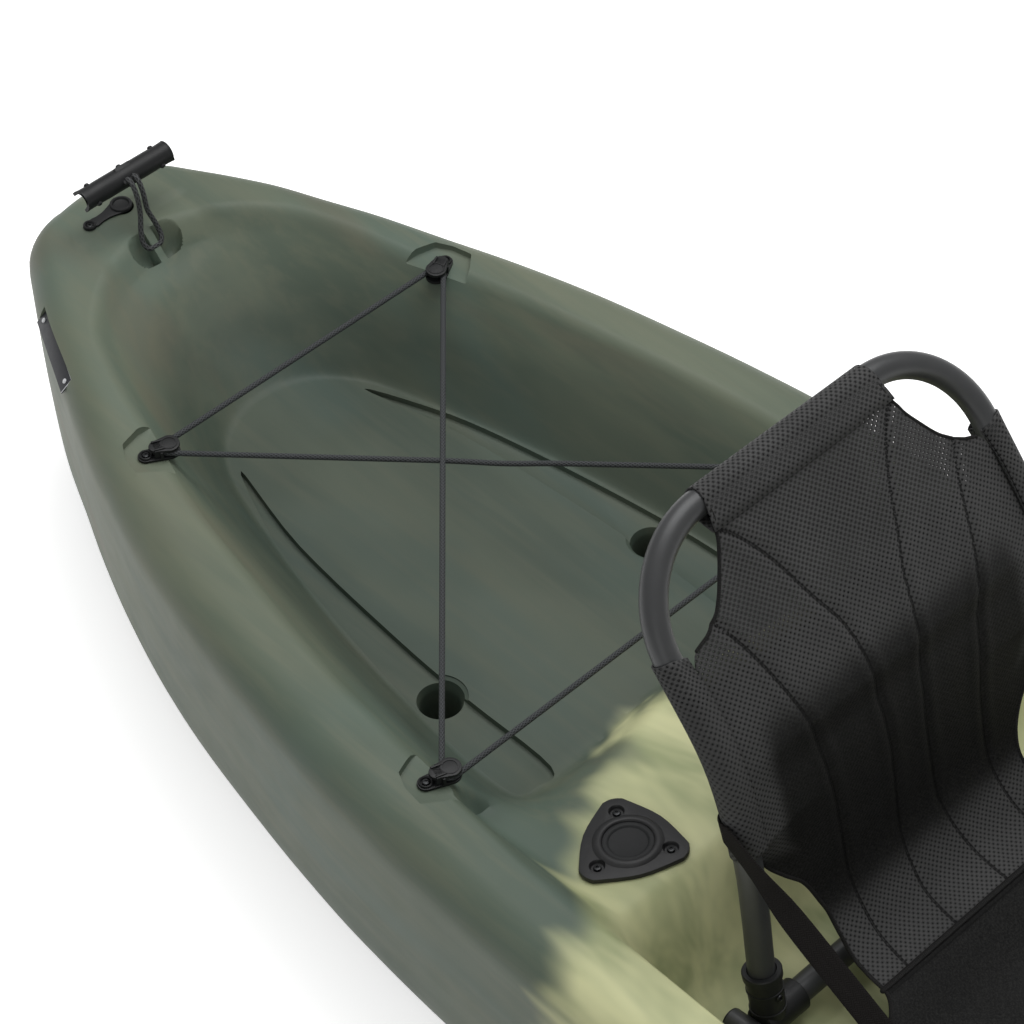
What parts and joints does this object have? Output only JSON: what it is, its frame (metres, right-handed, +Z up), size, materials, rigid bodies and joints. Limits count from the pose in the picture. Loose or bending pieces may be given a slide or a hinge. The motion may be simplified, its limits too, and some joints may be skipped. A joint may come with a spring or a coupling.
{
  "type": "fishing kayak",
  "caption": "Sit-on-top fishing kayak: moulded hull with tank well and cord, rod holders, hatch and folding framed mesh seat.",
  "frame": {"origin": "under the middle of the hull, on the ground that the keel rests on", "axes": "+X towards the bow, +Y to port, +Z up"},
  "size_m": [3.124, 0.787, 0.6964],
  "materials": {
    "hull": "satin moulded polyethylene, grey-green blending to olive tan",
    "black_plastic": "satin moulded black",
    "cord": "braided black",
    "steel": "stainless",
    "seat_tube": "satin dark grey",
    "mesh": "black perforated mesh",
    "webbing": "woven dark webbing",
    "rubber": "matt dark grey",
    "plate": "dark satin with a pale border",
    "rivet": "bright"
  },
  "bodies": {
    "boat": {"hull": "hull", "bungee_clip_rear_port": "black_plastic", "bungee_clip_screw_rear_port": "steel", "bungee_clip_rear_starboard": "black_plastic", "bungee_clip_screw_rear_starboard": "steel", "bungee_clip_front_port": "black_plastic", "bungee_clip_screw_front_port": "steel", "bungee_clip_front_starboard": "black_plastic", "bungee_clip_screw_front_starboard": "steel", "stern_bungee": "cord", "rod_holder_port": "black_plastic", "rod_holder_screw_port_inner_fore": "steel", "rod_holder_screw_port_inner_aft": "steel", "rod_holder_screw_port_outer": "steel", "rod_holder_starboard": "black_plastic", "rod_holder_screw_starboard_inner_fore": "steel", "rod_holder_screw_starboard_inner_aft": "steel", "rod_holder_screw_starboard_outer": "steel", "drain_bush": "black_plastic", "drain_plug_tether_ring": "rubber", "drain_plug_tether_screw": "steel", "rating_plate": "plate", "rating_plate_rivet_aft": "rivet", "rating_plate_rivet_fore": "rivet", "seat_waist_mesh": "mesh", "seat_pan_mesh": "mesh", "seat_base_hoop": "seat_tube", "seat_front_stand": "seat_tube", "seat_hinge_bolt_port": "steel", "seat_saddle_port": "rubber", "recline_strap_port": "webbing", "strap_buckle_port": "black_plastic", "strap_anchor_port": "steel", "seat_hinge_bolt_starboard": "steel", "seat_saddle_starboard": "rubber", "recline_strap_starboard": "webbing", "strap_buckle_starboard": "black_plastic", "strap_anchor_starboard": "steel", "hatch_coaming": "black_plastic"},
    "seat_back": {"seat_back_hoop": "seat_tube", "seat_back_mesh": "mesh", "seat_cross_tube": "seat_tube", "seat_tee_port": "black_plastic", "seat_tee_starboard": "black_plastic", "seat_tee_screw_port_fore": "steel", "seat_tee_screw_port_aft": "steel", "seat_tee_screw_starboard_fore": "steel", "seat_tee_screw_starboard_aft": "steel"},
    "stern_handle": {"stern_handle_grip": "black_plastic", "stern_handle_rope": "cord"},
    "bow_handle": {"bow_handle_grip": "black_plastic", "bow_handle_rope": "cord"},
    "rod_cap_port": {"rod_holder_cap_port": "rubber"},
    "rod_cap_starboard": {"rod_holder_cap_starboard": "rubber"},
    "drain_plug_body": {"drain_plug": "rubber"},
    "hatch_seal_body": {"hatch_seal": "rubber"},
    "hatch_lid_body": {"hatch_lid": "black_plastic"}
  },
  "joints": [
    {"name": "backrest_fold", "type": "hinge", "parent": "boat", "child": "seat_back", "pos_m": [-0.278, 0, 0.215], "axis": [0, 1, 0], "range_deg": [-8, 78], "deforming": ["seat_waist_mesh", "recline_strap_port", "recline_strap_starboard"]},
    {"name": "stern_handle_swing", "type": "hinge", "parent": "boat", "child": "stern_handle", "pos_m": [-1.432, 0, 0.31935], "axis": [0, 1, 0], "range_deg": [-26, 84], "deforming": ["stern_handle_rope"]},
    {"name": "bow_handle_swing", "type": "hinge", "parent": "boat", "child": "bow_handle", "pos_m": [1.45, 0, 0.35268], "axis": [0, 1, 0], "range_deg": [-84, 26], "deforming": ["bow_handle_rope"]},
    {"name": "rod_cap_port_lift", "type": "slide", "parent": "boat", "child": "rod_cap_port", "axis": [-0.1392, 0, 0.9903], "range_m": [0, 0.45]},
    {"name": "rod_cap_starboard_lift", "type": "slide", "parent": "boat", "child": "rod_cap_starboard", "axis": [-0.1392, 0, 0.9903], "range_m": [0, 0.45]},
    {"name": "drain_plug_pull", "type": "hinge", "parent": "boat", "child": "drain_plug_body", "pos_m": [-1.4919, -0.03714, 0.34051], "axis": [0.9986, 0.0523, 0], "range_deg": [0, 50]},
    {"name": "hatch_lift", "type": "slide", "parent": "boat", "child": "hatch_seal_body", "axis": [0, 0, 1], "range_m": [0, 0.5]},
    {"name": "hatch_turn", "type": "hinge", "parent": "hatch_seal_body", "child": "hatch_lid_body", "pos_m": [0.39, 0, 0.23], "axis": [0, 0, 1], "range_deg": [0, 90]}
  ]
}
